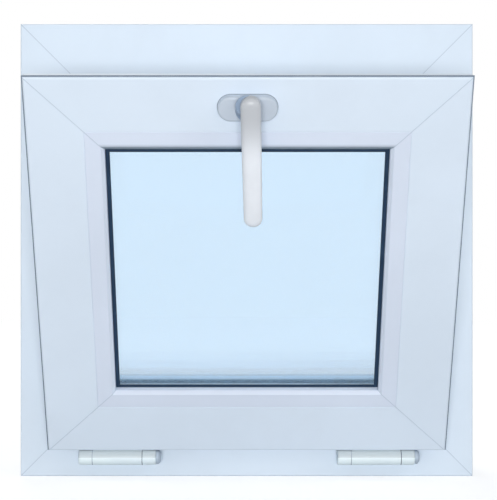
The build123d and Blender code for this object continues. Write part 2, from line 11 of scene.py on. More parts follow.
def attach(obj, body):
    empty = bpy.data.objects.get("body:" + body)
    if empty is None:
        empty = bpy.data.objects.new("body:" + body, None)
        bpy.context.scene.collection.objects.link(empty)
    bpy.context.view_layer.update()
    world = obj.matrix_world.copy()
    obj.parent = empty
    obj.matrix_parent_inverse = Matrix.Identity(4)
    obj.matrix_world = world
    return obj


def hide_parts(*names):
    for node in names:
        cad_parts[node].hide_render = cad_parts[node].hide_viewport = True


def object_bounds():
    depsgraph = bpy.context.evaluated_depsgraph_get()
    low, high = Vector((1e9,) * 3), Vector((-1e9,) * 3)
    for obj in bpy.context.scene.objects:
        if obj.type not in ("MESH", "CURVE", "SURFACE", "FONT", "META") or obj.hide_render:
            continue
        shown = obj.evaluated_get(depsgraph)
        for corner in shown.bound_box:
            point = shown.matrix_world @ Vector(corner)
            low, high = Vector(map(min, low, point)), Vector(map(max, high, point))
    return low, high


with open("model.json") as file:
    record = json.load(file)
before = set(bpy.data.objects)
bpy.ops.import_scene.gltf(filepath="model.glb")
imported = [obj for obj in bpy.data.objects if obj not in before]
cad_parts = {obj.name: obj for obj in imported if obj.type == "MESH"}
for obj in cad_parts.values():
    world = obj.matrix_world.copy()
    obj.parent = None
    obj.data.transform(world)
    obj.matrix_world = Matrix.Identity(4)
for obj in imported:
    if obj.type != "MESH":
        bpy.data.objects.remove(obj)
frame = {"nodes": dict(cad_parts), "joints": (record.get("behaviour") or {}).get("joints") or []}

bl_info = {
    "name": "Tilted uPVC window",
    "version": (1, 0, 0),
    "blender": (4, 5, 0),
    "location": "3D View > Sidebar > Window",
    "description": "Finishes and fine pieces of a small bottom hung uPVC window",
    "category": "Object",
}

MM = 0.001
CAD_BOX = [list(corner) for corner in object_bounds()]
JOINTS = {joint["name"]: joint for joint in frame["joints"]}

# Where things are while the sash is closed, in metres
HINGE_AXIS = Vector(JOINTS["sash_tilt"]["pos_m"])
OPENING = -radians(JOINTS["sash_tilt"]["range_deg"][0])
WINDOW_WIDTH = CAD_BOX[1][0] - CAD_BOX[0][0]
CENTRE_HEIGHT = WINDOW_WIDTH / 2
SASH_FACE = -52 * MM
HANDLE_HEIGHT = 480 * MM
GLASS_FACE = -39 * MM
GLASS_BACK = -17 * MM
SASH_HALF = 238 * MM
BEAD_EDGE = 83.5 * MM
LEG_EDGE = 75 * MM
GROOVE_LINE = -22 * MM
STAY_PIVOT = Vector((0, GROOVE_LINE, 176.5 * MM))
STAY_LEAN = radians(42.6888)
STAY_REACH = 200 * MM
GUIDE_CENTRE = Vector((0, GROOVE_LINE, 358.8 * MM))
HINGE_OUT = 155.5 * MM
HINGE_SEAM = 29.9 * MM
WASHER_THICKNESS = 0.74 * MM
ROSETTE_TOP = SASH_FACE - 9.4 * MM
LEVER_BACK = SASH_FACE - 23 * MM
LEVER_RISE = 10.8 * MM
LEVER_DROP = 125.3 * MM
LEVER_LEAN = 3 * MM
LEVER_STEPS = 12
NEAR = 0.01 * MM
HANDS = {"left": -1, "right": 1}


def opened():
    """The turn that carries a piece from the closed sash to the sash as it rests, tilted in."""
    there = Matrix.Translation(HINGE_AXIS)
    return there @ Matrix.Rotation(OPENING, 4, "X") @ there.inverted()


def linear(red, green, blue):
    """A colour as it is seen on a screen, 0 to 255, as the shader's own values."""
    parts = [value / 255 for value in (red, green, blue)]
    return tuple(part / 12.92 if part <= 0.04045 else ((part + 0.055) / 1.055) ** 2.4 for part in parts)


class Reading:
    """A value that a node gives, so that shader maths is written as an expression."""

    def __init__(self, finish, socket):
        self.finish = finish
        self.socket = socket

    def worked(self, operation, first, second=0.0):
        return self.finish.node("ShaderNodeMath", {"operation": operation}, {0: first, 1: second})

    def __add__(self, other):
        return self.worked("ADD", self, other)

    def __radd__(self, other):
        return self.worked("ADD", other, self)

    def __sub__(self, other):
        return self.worked("SUBTRACT", self, other)

    def __rsub__(self, other):
        return self.worked("SUBTRACT", other, self)

    def __mul__(self, other):
        return self.worked("MULTIPLY", self, other)

    def __rmul__(self, other):
        return self.worked("MULTIPLY", other, self)

    def __abs__(self):
        return self.worked("ABSOLUTE", self)


class Finish:
    """A material and the nodes that make it."""

    def __init__(self, name):
        self.material = bpy.data.materials.new(name)
        self.material.use_nodes = True
        self.tree = self.material.node_tree
        self.tree.nodes.clear()

    def node(self, kind, settings=None, inputs=None, output=0):
        """A new node: its settings first, then the values or links of its sockets."""
        made = self.tree.nodes.new(kind)
        for name, value in (settings or {}).items():
            setattr(made, name, value)
        for key, value in (inputs or {}).items():
            if isinstance(value, Reading):
                self.tree.links.new(value.socket, made.inputs[key])
            else:
                made.inputs[key].default_value = value
        return Reading(self, made.outputs[output]) if made.outputs else None

    def place(self, tilted):
        """Object coordinates, turned back to the closed sash for a part that is tilted."""
        coordinates = self.node("ShaderNodeTexCoord", output="Object")
        if not tilted:
            return coordinates
        back = opened().inverted()
        return self.node(
            "ShaderNodeMapping",
            {"vector_type": "POINT"},
            {"Vector": coordinates, "Location": back.to_translation(), "Rotation": back.to_euler()},
        )

    def stretched(self, place, scales):
        return self.node("ShaderNodeMapping", {"vector_type": "POINT"}, {"Vector": place, "Scale": scales})

    def noise(self, place, scale, detail=2.0, roughness=0.5):
        return self.node(
            "ShaderNodeTexNoise",
            {"noise_dimensions": "3D"},
            {"Vector": place, "Scale": scale, "Detail": detail, "Roughness": roughness},
        )

    def between(self, value, low, high, first=0.0, second=1.0):
        """The value's share of the way from low to high, as a number from first to second."""
        return self.node(
            "ShaderNodeMapRange",
            {"interpolation_type": "SMOOTHSTEP", "clamp": True},
            {"Value": value, "From Min": low, "From Max": high, "To Min": first, "To Max": second},
        )

    def mixed(self, factor, first, second):
        """Two colours, mixed."""
        inputs = {0: factor, 6: self.opaque(first), 7: self.opaque(second)}
        return self.node("ShaderNodeMix", {"data_type": "RGBA"}, inputs, output=2)

    def opaque(self, colour):
        return colour if isinstance(colour, Reading) else (*colour[:3], 1)

    def bump(self, height, distance, strength=1.0):
        inputs = {"Height": height, "Distance": distance, "Strength": strength}
        return self.node("ShaderNodeBump", {}, inputs)

    def shine(self, inputs):
        """The surface itself, joined to the material's output."""
        surface = self.node("ShaderNodeBsdfPrincipled", {}, inputs)
        self.node("ShaderNodeOutputMaterial", {}, {"Surface": surface})
        return self.material


def shade(colour, factor):
    """A colour made darker or lighter."""
    return tuple(min(1.0, part * factor) for part in colour[:3])


def extruded_upvc(name, colour, along, tilted, seam_colour, lip_shade_colour=None):
    """Satin extruded uPVC: draw lines along the bar, a faint cloud, the welds, and painted shade along a
    bead's lip.
    """
    finish = Finish(name)
    place = finish.place(tilted)
    across = (2600, 2600, 14) if along == "z" else (14, 2600, 2600)
    lines = finish.noise(finish.stretched(place, across), 1.0, 2)
    cloud = finish.noise(place, 7.0, 4, 0.55)
    grain = finish.noise(place, 2600.0, 2)
    parts = finish.node("ShaderNodeSeparateXYZ", {}, {"Vector": place}, output="X")
    side = abs(parts)
    height = abs(Reading(finish, parts.socket.node.outputs["Z"]) - CENTRE_HEIGHT)
    weld = 1 - finish.between(abs(side - height), 0.25 * MM, 0.9 * MM)
    toned = finish.mixed(finish.between(cloud, 0.35, 0.65), shade(colour, 0.975), shade(colour, 1.015))
    # Painted shade: a darker band along the bead's inner edge, for the shade on the top bead's
    # downward-facing lip.
    if lip_shade_colour:
        from_middle = finish.node("ShaderNodeMath", {"operation": "MAXIMUM"}, {0: side, 1: height})
        opening = SASH_HALF - BEAD_EDGE
        lip = finish.between(from_middle, opening + 1 * MM, opening + 8 * MM, 1, 0)
        toned = finish.mixed(lip, toned, lip_shade_colour)
    seamed = finish.mixed(weld * 0.6, toned, seam_colour)
    bump = finish.bump(lines * 0.6 + grain * 0.4, 0.02 * MM, 0.5)
    return finish.shine(
        {
            "Base Color": seamed,
            "Roughness": 0.34 + 0.08 * cloud + 0.05 * lines,
            "Normal": bump,
            "IOR": 1.49,
            "Specular IOR Level": 0.42,
        }
    )


def moulded_plastic(name, colour, roughness, tilted, peel=0.5, painted_shade_above=None):
    """Moulded or coated white: fine orange peel, a faint cloud, and painted shade as a darker tone above a
    height.
    """
    finish = Finish(name)
    place = finish.place(tilted)
    cloud = finish.noise(place, 22.0, 3)
    texture = finish.noise(place, 900.0, 3, 0.6)
    toned = finish.mixed(finish.between(cloud, 0.35, 0.65), shade(colour, 0.97), shade(colour, 1.02))
    # Painted shade: the colour is made darker above a height, standing for shade from above.
    if painted_shade_above:
        low, high, factor = painted_shade_above
        height = finish.node("ShaderNodeSeparateXYZ", {}, {"Vector": place}, output="Z")
        toned = finish.mixed(finish.between(height, low, high), toned, shade(colour, factor))
    return finish.shine(
        {
            "Base Color": toned,
            "Roughness": roughness + 0.08 * cloud,
            "Normal": finish.bump(texture, 0.03 * MM, peel),
            "IOR": 1.5,
            "Specular IOR Level": 0.5,
        }
    )


def rubber(name, colour, bloom_colour, tilted):
    """Extruded rubber: a matt face with fine grain and a pale bloom in patches."""
    finish = Finish(name)
    place = finish.place(tilted)
    patches = finish.noise(place, 55.0, 4, 0.6)
    grain = finish.noise(place, 2400.0, 2)
    toned = finish.mixed(finish.between(patches, 0.5, 0.8, 0, 0.35), colour, bloom_colour)
    return finish.shine(
        {
            "Base Color": toned,
            "Roughness": 0.55 + 0.2 * patches,
            "Normal": finish.bump(grain, 0.05 * MM, 0.5),
            "Specular IOR Level": 0.35,
        }
    )


def zinc_plate(name, colour, tilted=True):
    """Bright zinc plate on pressed steel: brushed one way, with faint blue and straw stains."""
    finish = Finish(name)
    place = finish.place(tilted)
    brushed = finish.noise(finish.stretched(place, (90, 90, 2600)), 1.0, 3, 0.6)
    stain = finish.noise(place, 38.0, 3)
    spots = finish.noise(place, 420.0, 3, 0.65)
    toned = finish.mixed(finish.between(stain, 0.42, 0.66), colour, linear(214, 206, 186))
    dulled = finish.mixed(finish.between(spots, 0.6, 0.78, 0, 0.5), toned, linear(150, 154, 160))
    return finish.shine(
        {
            "Base Color": dulled,
            "Metallic": 1.0,
            "Roughness": 0.3 + 0.18 * brushed + 0.1 * stain,
            "Normal": finish.bump(brushed, 0.02 * MM, 0.6),
        }
    )


def spacer_bar(name, colour):
    """A pale coated bar with a fine drawn grain."""
    finish = Finish(name)
    place = finish.place(True)
    drawn = finish.noise(place, 2400.0, 2)
    return finish.shine(
        {
            "Base Color": finish.mixed(drawn, shade(colour, 0.94), shade(colour, 1.04)),
            "Roughness": 0.42 + 0.12 * drawn,
            "Normal": finish.bump(drawn, 0.01 * MM, 0.4),
        }
    )


def float_glass(name, colour):
    """Clear float glass, with the faint film that a room leaves on it."""
    finish = Finish(name)
    place = finish.place(True)
    film = finish.noise(place, 11.0, 4, 0.6)
    return finish.shine(
        {
            # Partly painted reflection: the pane's sky-blue base colour stands in part for the sky reflected
            # in it.
            "Base Color": finish.mixed(film, shade(colour, 0.99), colour),
            "Roughness": 0.004 + 0.012 * film,
            "Transmission Weight": 1.0,
            "Alpha": 0.26,
            "IOR": 1.5,
        }
    )


# Starting a piece, shaping it, and handing it over

def deselect():
    if bpy.context.mode != "OBJECT":
        bpy.ops.object.mode_set(mode="OBJECT")
    bpy.ops.object.select_all(action="DESELECT")


def named(name):
    """The primitive that was just added, with its size and place in its mesh."""
    piece = bpy.context.active_object
    piece.name = name
    piece.data.name = name
    bpy.ops.object.transform_apply(location=True, rotation=True, scale=True)
    return piece


def copied(piece, name):
    """A copy with a mesh of its own."""
    twin = piece.copy()
    twin.data = piece.data.copy()
    twin.name = name
    twin.data.name = name
    bpy.context.collection.objects.link(twin)
    return twin


def disc(name, radius, thickness, vertices, place=(0, 0, 0)):
    """A round plate that faces the room, its back at this place."""
    deselect()
    bpy.ops.mesh.primitive_cylinder_add(
        vertices=vertices,
        radius=radius,
        depth=thickness,
        end_fill_type="NGON",
        location=(place[0], place[1] - thickness / 2, place[2]),
        rotation=(pi / 2, pi / vertices, 0),
    )
    return named(name)


def edit(piece):
    deselect()
    piece.select_set(True)
    bpy.context.view_layer.objects.active = piece
    bpy.ops.object.mode_set(mode="EDIT")


def pick(piece, kind, test):
    """Selects the points, edges or faces whose middle, and for a face its normal, pass the test."""
    bpy.ops.mesh.select_mode(type=kind)
    bpy.ops.mesh.select_all(action="DESELECT")
    mesh = bmesh.from_edit_mesh(piece.data)
    if kind == "VERT":
        chosen = [point for point in mesh.verts if test(point.co)]
    elif kind == "EDGE":
        chosen = [edge for edge in mesh.edges if test(edge.verts[0].co, edge.verts[1].co)]
    else:
        chosen = [face for face in mesh.faces if test(face.calc_center_median(), face.normal)]
    if not chosen:
        raise RuntimeError(f"{piece.name}: nothing was picked")
    for element in chosen:
        element.select_set(True)
    mesh.select_flush_mode()
    bmesh.update_edit_mesh(piece.data)


def move(x=0.0, y=0.0, z=0.0):
    bpy.ops.transform.translate(value=(x, y, z))


def apply(piece, kind, settings):
    """Adds a modifier, sets it and applies it."""
    deselect()
    piece.select_set(True)
    bpy.context.view_layer.objects.active = piece
    bpy.ops.object.modifier_add(type=kind)
    modifier = piece.modifiers[-1]
    for name, value in settings.items():
        setattr(modifier, name, value)
    bpy.ops.object.modifier_apply(modifier=modifier.name)


def join(pieces):
    """Several pieces as one, under the first one's name."""
    deselect()
    for piece in pieces:
        piece.select_set(True)
    bpy.context.view_layer.objects.active = pieces[0]
    bpy.ops.object.join()
    return pieces[0]


def carry(piece, turn):
    """Takes a piece to its place, and keeps the place in its mesh."""
    deselect()
    piece.select_set(True)
    bpy.context.view_layer.objects.active = piece
    piece.matrix_world = turn
    bpy.ops.object.transform_apply(location=True, rotation=True, scale=True)


def tilt(piece):
    """Carries a piece that was made on the closed sash to the sash as it rests."""
    carry(piece, opened())


def facing(place, normal, along):
    """The turn that takes a piece made at the origin, facing the room, to a place on a surface."""
    across = Vector(along)
    back = -Vector(normal)
    turn = Matrix((across, back, across.cross(back))).transposed().to_4x4()
    turn.translation = place
    return turn


def cut(piece, cutters):
    """Takes the cutters out of the piece, one after the other."""
    for cutter in cutters:
        apply(piece, "BOOLEAN", {"object": cutter, "operation": "DIFFERENCE", "solver": "EXACT"})
        bpy.data.objects.remove(cutter)


def block(size, place, turn=(0, 0, 0)):
    """A plain block that only cuts."""
    deselect()
    bpy.ops.mesh.primitive_cube_add(size=1, location=place, rotation=turn, scale=size)
    return named("cutter")


def hand_over(piece, body, material, nodes=(), smooth=40):
    """Recalculates the normals, smooths the shading, and puts the piece on its body."""
    edit(piece)
    bpy.ops.mesh.select_all(action="SELECT")
    bpy.ops.mesh.remove_doubles(threshold=0.002 * MM)
    bpy.ops.mesh.normals_make_consistent(inside=False)
    bpy.ops.object.mode_set(mode="OBJECT")
    bpy.ops.object.shade_smooth_by_angle(angle=radians(smooth))
    piece.data.materials.clear()
    piece.data.materials.append(material)
    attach(piece, body)
    if nodes:
        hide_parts(*nodes)


def paint(material, *nodes):
    """Gives CAD nodes their finish."""
    for name in nodes:
        mesh = frame["nodes"][name].data
        mesh.materials.clear()
        mesh.materials.append(material)


def swept_rounding(piece, radius, height, steps):
    """Insets the picked face again and again, and lifts it, along a quarter of an ellipse."""
    for step in range(steps):
        start = pi / 2 * step / steps
        end = pi / 2 * (step + 1) / steps
        inwards = radius * (cos(start) - cos(end))
        upwards = height * (sin(end) - sin(start))
        bpy.ops.mesh.inset(thickness=inwards, depth=upwards, use_even_offset=True)


def button(name, radius, thickness, rounding, dimple, vertices=32):
    """A round head with a rounded rim and a shallow dimple in its middle."""
    head = disc(name, radius, thickness - rounding, vertices)
    edit(head)
    pick(head, "FACE", lambda middle, normal: normal.y < -0.9)
    swept_rounding(head, rounding * 1.4, rounding, 4)
    if dimple:
        bpy.ops.mesh.inset(thickness=0.25 * radius, use_even_offset=True)
        bpy.ops.mesh.inset(thickness=dimple, depth=-dimple, use_even_offset=True)
    bpy.ops.object.mode_set(mode="OBJECT")
    return head


def stadium(name, length, width, thickness, rounding, steps=4, vertices=48):
    """A long plate with round ends that faces the room, its back on the plane y = 0."""
    plate = disc(name, width / 2, thickness - rounding, vertices)
    spread = (length - width) / 2
    edit(plate)
    pick(plate, "VERT", lambda point: point.x > 0)
    move(x=spread)
    pick(plate, "VERT", lambda point: point.x < 0)
    move(x=-spread)
    pick(plate, "FACE", lambda middle, normal: normal.y < -0.9)
    swept_rounding(plate, rounding, rounding, steps)
    bpy.ops.object.mode_set(mode="OBJECT")
    return plate


def screw(name, radius):
    """A countersunk head with a cross recess."""
    head = button(name, radius, 2 * MM, 0.5 * MM, 0)
    long, short = 1.15 * radius, 0.3 * radius
    slots = [block(size, (0, -2.1 * MM, 0)) for size in ((long, 1.8 * MM, short), (short, 1.8 * MM, long))]
    cut(head, slots)
    return head


def set_copies(template, places, body, material, tilted=False):
    """Copies a piece to each named place, and takes the first one away."""
    for name, turn in places.items():
        piece = copied(template, name)
        carry(piece, opened() @ turn if tilted else turn)
        hand_over(piece, body, material)
    bpy.data.objects.remove(template)


# What a user may change

class WindowColours(bpy.types.PropertyGroup):
    """Colours of the window's finishes."""

    def colour(name, description, *seen):
        return bpy.props.FloatVectorProperty(
            name=name, description=description, size=3, subtype="COLOR", min=0, max=1, default=linear(*seen)
        )

    frame_upvc: colour("Frame", "Colour of the frame's bars", 220, 233, 246)
    sash_upvc: colour("Sash", "Colour of the sash's bars", 222, 234, 247)
    bead_upvc: colour("Beads", "Colour of the glazing beads", 219, 228, 243)
    # Painted shade: this colour stands for the shade on the top bead's lower lip.
    bead_lip_shade: colour("Bead lip", "Colour of the shaded lip along the top bead's lower edge", 126, 142, 157)
    weld: colour("Weld", "Colour of the scraped weld at each mitre", 168, 184, 200)
    gasket: colour("Glazing gasket", "Colour of the rubber against the glass", 18, 46, 72)
    seal: colour("Weather seal", "Colour of the rubber between sash and frame", 116, 131, 148)
    # The panes' strong sky-blue tint is partly the glass's own tint and partly a painted reflection of the
    # sky.
    glass: colour("Glass", "Tint of the panes", 160, 212, 252)
    spacer: colour("Spacer", "Colour of the bar between the panes", 242, 246, 250)
    sealant: colour("Edge sealant", "Colour of the sealant round the panes", 40, 40, 44)
    hinge: colour("Hinge covers", "Colour of the hinges' covers", 236, 249, 255)
    # The pin heads' grey is partly their own plastic and partly painted shade of the hinge's shaded end
    # face.
    hinge_pin: colour("Hinge pins", "Colour of the hinge pins' heads", 176, 190, 205)
    # Painted shade: the washers are alike; those at the right seams are coloured dark as the seams' shadow,
    # those at the left seams lighter.
    washer_left: colour("Left washers", "Colour of the washers at the hinges' left seams", 160, 172, 185)
    washer_right_shaded: colour("Right washers", "Colour of the washers at the hinges' right seams", 56, 72, 92)
    handle: colour("Handle", "Colour of the lever's powder coat", 232, 236, 242)
    # Painted shade: the neck is the lever's white metal, coloured grey-blue for the shade on its flank.
    neck: colour("Neck", "Colour of the neck between lever and rosette", 143, 162, 186)
    # The rosette's grey is partly its own plastic's tone and partly painted shade.
    rosette: colour("Rosette", "Colour of the rosette under the lever", 194, 204, 216)
    # Painted shadow: the thin plate under the rosette shows as a dark rim, standing for the rosette's
    # shadow.
    rosette_shadow_plate: colour("Rosette foot", "Colour of the thin plate under the rosette", 150, 161, 174)
    drain_cap: colour("Drain caps", "Colour of the caps over the drain slots", 220, 229, 240)
    zinc: colour("Zinc plate", "Colour of the plated steel fittings", 206, 210, 214)
    floor: colour("Floor", "Colour of the floor", 196, 198, 200)


class WindowSizes(bpy.types.PropertyGroup):
    """Sizes of the window's fine pieces."""

    def length(name, description, value):
        return bpy.props.FloatProperty(
            name=name, description=description, default=value, min=0, subtype="DISTANCE", unit="LENGTH"
        )

    lever_head: length("Lever head", "Radius of the lever's round head", 10.9 * MM)
    lever_tip: length("Lever tip", "Radius of the lever's round tip", 10.1 * MM)
    lever_thickness: length("Lever thickness", "Thickness of the lever", 13 * MM)
    neck_radius: length("Neck radius", "Radius of the lever's neck on the rosette", 13 * MM)
    rosette_length: length("Rosette length", "Length of the rosette", 64 * MM)
    rosette_width: length("Rosette width", "Width of the rosette", 28 * MM)
    rosette_height: length("Rosette height", "Height of the rosette over the sash", 9 * MM)
    lever_bow: length("Lever bow", "How far the lever's tip bends out from the sash", 5 * MM)
    lip_width: length("Gasket lip", "Width of rubber that shows round the glass", 4.5 * MM)
    lip_drop: length("Gasket drop", "How low the gasket sits in the sash", 2.5 * MM)
    outer_lip: length("Outer lip", "Width of rubber that shows round the glass outdoors", 3 * MM)
    screw_radius: length("Screw head", "Radius of the fittings' screw heads", 2.7 * MM)
    fixing_cap: length("Fixing cap", "Radius of the caps in the frame's fixing holes", 6.6 * MM)
    drain_length: length("Drain cap", "Length of the caps over the drain slots", 42 * MM)


# Stage

class WINDOW_OT_stage(bpy.types.Operator):
    """Set the floor, the lights and the camera"""

    bl_idname = "window.stage"
    bl_label = "Stage"

    def execute(self, context):
        self.make_floor(context.scene.window_colours.floor)
        self.make_world(context.scene)
        self.make_lamps()
        self.make_camera(context.scene)
        context.scene.view_settings.view_transform = "Standard"
        return {"FINISHED"}

    def make_floor(self, colour):
        finish = Finish("floor")
        lit = finish.node("ShaderNodeBsdfDiffuse", {}, {"Color": (*colour, 1)})
        glow = finish.node("ShaderNodeEmission", {}, {"Color": (1, 1, 1, 1), "Strength": 0.66})
        white = finish.node("ShaderNodeEmission", {}, {"Color": (1, 1, 1, 1), "Strength": 1})
        place = finish.node("ShaderNodeTexCoord", output="Object")
        away = finish.node("ShaderNodeVectorMath", {"operation": "LENGTH"}, {0: place}, output="Value")
        seen = finish.node("ShaderNodeLightPath", output="Is Camera Ray")
        glossy = Reading(finish, seen.socket.node.outputs["Is Glossy Ray"])
        through = Reading(finish, seen.socket.node.outputs["Is Transmission Ray"])
        near = finish.node("ShaderNodeAddShader", {}, {0: lit, 1: glow})
        far = finish.between(away, 0.7, 2.0)
        backdrop = finish.node("ShaderNodeMixShader", {}, {0: far, 1: near, 2: white})
        mixed = finish.node("ShaderNodeMixShader", {}, {0: seen + glossy + through, 1: lit, 2: backdrop})
        finish.node("ShaderNodeOutputMaterial", {}, {"Surface": mixed})
        deselect()
        bpy.ops.mesh.primitive_plane_add(size=12, location=(0, 0, 0))
        floor = named("floor")
        floor.data.materials.append(finish.material)

    def make_world(self, scene):
        world = bpy.data.worlds.new("studio")
        scene.world = world
        world.use_nodes = True
        tree = world.node_tree
        tree.nodes.clear()
        output = tree.nodes.new("ShaderNodeOutputWorld")
        mix = tree.nodes.new("ShaderNodeMixShader")
        soft = tree.nodes.new("ShaderNodeBackground")
        white = tree.nodes.new("ShaderNodeBackground")
        path = tree.nodes.new("ShaderNodeLightPath")
        total = tree.nodes.new("ShaderNodeMath")
        total.operation = "ADD"
        total.use_clamp = True
        both = tree.nodes.new("ShaderNodeMath")
        both.operation = "ADD"
        soft.inputs["Color"].default_value = (0.97, 0.985, 1.0, 1)
        soft.inputs["Strength"].default_value = 0.44
        white.inputs["Color"].default_value = (1, 1, 1, 1)
        white.inputs["Strength"].default_value = 1.0
        tree.links.new(path.outputs["Is Camera Ray"], both.inputs[0])
        tree.links.new(path.outputs["Is Glossy Ray"], both.inputs[1])
        tree.links.new(both.outputs[0], total.inputs[0])
        tree.links.new(path.outputs["Is Transmission Ray"], total.inputs[1])
        tree.links.new(total.outputs[0], mix.inputs[0])
        tree.links.new(soft.outputs[0], mix.inputs[1])
        tree.links.new(white.outputs[0], mix.inputs[2])
        tree.links.new(mix.outputs[0], output.inputs["Surface"])

    def make_lamps(self):
        # Each lamp's name, place, target, size and power in watts
        lamps = (
            ("front", (-0.05, -3.0, 0.27), (0, 0, 0.27), (1.2, 0.5), 45.0),
            ("key", (1.9, -1.7, 1.7), (0, 0, 0.28), (1.0, 1.0), 7.0),
            ("back", (-0.7, 2.4, 1.9), (0, 0, 0.28), (1.4, 1.0), 22.0),
        )
        for name, place, target, size, power in lamps:
            deselect()
            bpy.ops.object.light_add(type="AREA", location=place)
            lamp = bpy.context.active_object
            lamp.name = name
            lamp.rotation_euler = (Vector(target) - Vector(place)).to_track_quat("-Z", "Y").to_euler()
            lamp.data.shape = "RECTANGLE"
            lamp.data.size, lamp.data.size_y = size
            lamp.data.energy = power

    def make_camera(self, scene):
        deselect()
        bpy.ops.object.camera_add(location=(-8.1 * MM, -1.682, 0.3493), rotation=(pi / 2, 0, 0))
        camera = bpy.context.active_object
        camera.name = "camera"
        camera.data.sensor_width = 36
        camera.data.lens = 97.5
        camera.data.shift_x = 0.017
        camera.data.shift_y = -0.122
        camera.data.clip_start = 0.01
        scene.camera = camera


# Bars, beads and glass

class WINDOW_OT_profiles(bpy.types.Operator):
    """Finish the bars of the frame and sash, and the glazing beads"""

    bl_idname = "window.profiles"
    bl_label = "Bars and beads"

    def execute(self, context):
        colours = context.scene.window_colours
        # The top bead gets painted shade along its lower lip.
        lip = colours.bead_lip_shade
        for name, bars, colour, along, tilted, lip_shade_colour in (
            ("frame_across", ("frame_sill", "frame_head"), colours.frame_upvc, "x", False, None),
            ("frame_upright", ("frame_jamb_left", "frame_jamb_right"), colours.frame_upvc, "z", False, None),
            ("sash_across", ("sash_top_rail", "sash_bottom_rail"), colours.sash_upvc, "x", True, None),
            ("sash_upright", ("sash_stile_left", "sash_stile_right"), colours.sash_upvc, "z", True, None),
            ("bead_top", ("bead_top",), colours.bead_upvc, "x", True, lip),
            ("bead_bottom", ("bead_bottom",), colours.bead_upvc, "x", True, None),
            ("bead_upright", ("bead_left", "bead_right"), colours.bead_upvc, "z", True, None),
        ):
            paint(extruded_upvc(name, colour, along, tilted, colours.weld, lip_shade_colour), *bars)
        return {"FINISHED"}


class WINDOW_OT_glazing(bpy.types.Operator):
    """Finish the panes, their spacer and sealant, and make the gasket's lip"""

    bl_idname = "window.glazing"
    bl_label = "Glazing"

    def execute(self, context):
        colours = context.scene.window_colours
        sizes = context.scene.window_sizes
        paint(float_glass("float_glass", colours.glass), "glass_inner_pane", "glass_outer_pane")
        paint(spacer_bar("spacer_bar", colours.spacer), "glass_spacer")
        paint(rubber("edge_sealant", colours.sealant, linear(66, 66, 70), True), "glass_edge_seal")
        gasket = rubber("glazing_rubber", colours.gasket, linear(58, 84, 110), True)
        seal = rubber("seal_rubber", colours.seal, linear(196, 202, 210), False)
        paint(seal, "frame_seal")
        half = SASH_HALF - 2.4 * MM
        tube = self.make_ring("sash_seal_tube", half, half, 4.6 * MM, 4.4 * MM, 1.6 * MM)
        carry(tube, opened() @ Matrix.Translation((0, -35.6 * MM, 0)))
        hand_over(tube, "sash", seal, ["sash_seal"])
        # Painted shadow: a slim strip of the grey seal rubber round the sash's front edge stands for the
        # shadow line between sash and frame.
        half, half_below = SASH_HALF + 1.2 * MM, SASH_HALF + 0.45 * MM
        strip = self.make_ring("sash_edge_shadow_strip", half, half_below, 1.9 * MM, 1.6 * MM, 0.4 * MM)
        carry(strip, opened() @ Matrix.Translation((0, -48.4 * MM, 0)))
        hand_over(strip, "sash", seal)
        middle = CENTRE_HEIGHT - sizes.lip_drop
        inner = self.make_lip("glazing_lip", BEAD_EDGE, sizes.lip_width, 3 * MM, middle)
        carry(inner, opened() @ Matrix.Translation((0, GLASS_FACE, 0)))
        hand_over(inner, "sash", gasket, ["glazing_gasket_inner"])
        outer = self.make_lip("outdoor_lip", LEG_EDGE, sizes.outer_lip, 3 * MM, -CENTRE_HEIGHT)
        turned = Matrix.Translation((0, GLASS_BACK, 0)) @ Matrix.Rotation(pi, 4, "X")
        carry(outer, opened() @ turned)
        hand_over(outer, "sash", gasket, ["glazing_gasket_outer"])
        return {"FINISHED"}

    def make_ring(self, name, half, half_below, width, thickness, rounding):
        """A mitred ring of rubber round the closed sash, rounded along its front edges."""
        deselect()
        middle = (0, 0, CENTRE_HEIGHT)
        bpy.ops.mesh.primitive_plane_add(size=2 * half, location=middle, rotation=(pi / 2, 0, 0))
        piece = named(name)
        edit(piece)
        pick(piece, "VERT", lambda point: point.z < CENTRE_HEIGHT)
        move(z=half - half_below)
        bpy.ops.mesh.select_all(action="SELECT")
        bpy.ops.mesh.inset(thickness=width, use_even_offset=True)
        bpy.ops.mesh.delete(type="FACE")
        bpy.ops.mesh.select_all(action="SELECT")
        bpy.ops.mesh.extrude_region_move(TRANSFORM_OT_translate={"value": (0, -thickness, 0)})

        def front(first, second):
            ends = (first, second)
            near = all(abs(end.y + thickness) < NEAR for end in ends)
            level = abs(first.x - second.x) < NEAR or abs(first.z - second.z) < NEAR
            return near and level

        pick(piece, "EDGE", front)
        bpy.ops.mesh.bevel(offset=rounding, segments=3, profile=0.5, affect="EDGES")
        bpy.ops.object.mode_set(mode="OBJECT")
        return piece

    def make_lip(self, name, edge, showing, thickness, middle):
        """A mitred rim of rubber that faces the room, rounded where it shows past what holds it."""
        shown = SASH_HALF - edge
        outer = shown + 9 * MM
        deselect()
        bpy.ops.mesh.primitive_plane_add(size=2 * outer, location=(0, 0, middle), rotation=(pi / 2, 0, 0))
        lip = named(name)
        edit(lip)
        bpy.ops.mesh.select_all(action="SELECT")
        bpy.ops.mesh.inset(thickness=outer - shown, use_even_offset=True)
        bpy.ops.mesh.inset(thickness=showing, use_even_offset=True)
        bpy.ops.mesh.delete(type="FACE")
        bpy.ops.mesh.select_all(action="SELECT")
        bpy.ops.mesh.extrude_region_move(TRANSFORM_OT_translate={"value": (0, -thickness, 0)})
        inner = shown - showing

        def inner_front(first, second):
            ends = (first, second)
            near = all(abs(end.y + thickness) < NEAR for end in ends)
            rim = all(max(abs(end.x), abs(end.z - middle)) < inner + NEAR for end in ends)
            return near and rim

        pick(lip, "EDGE", inner_front)
        bpy.ops.mesh.bevel(offset=0.7 * min(showing, thickness), segments=5, profile=0.5, affect="EDGES")
        bpy.ops.object.mode_set(mode="OBJECT")
        return lip


# Handle

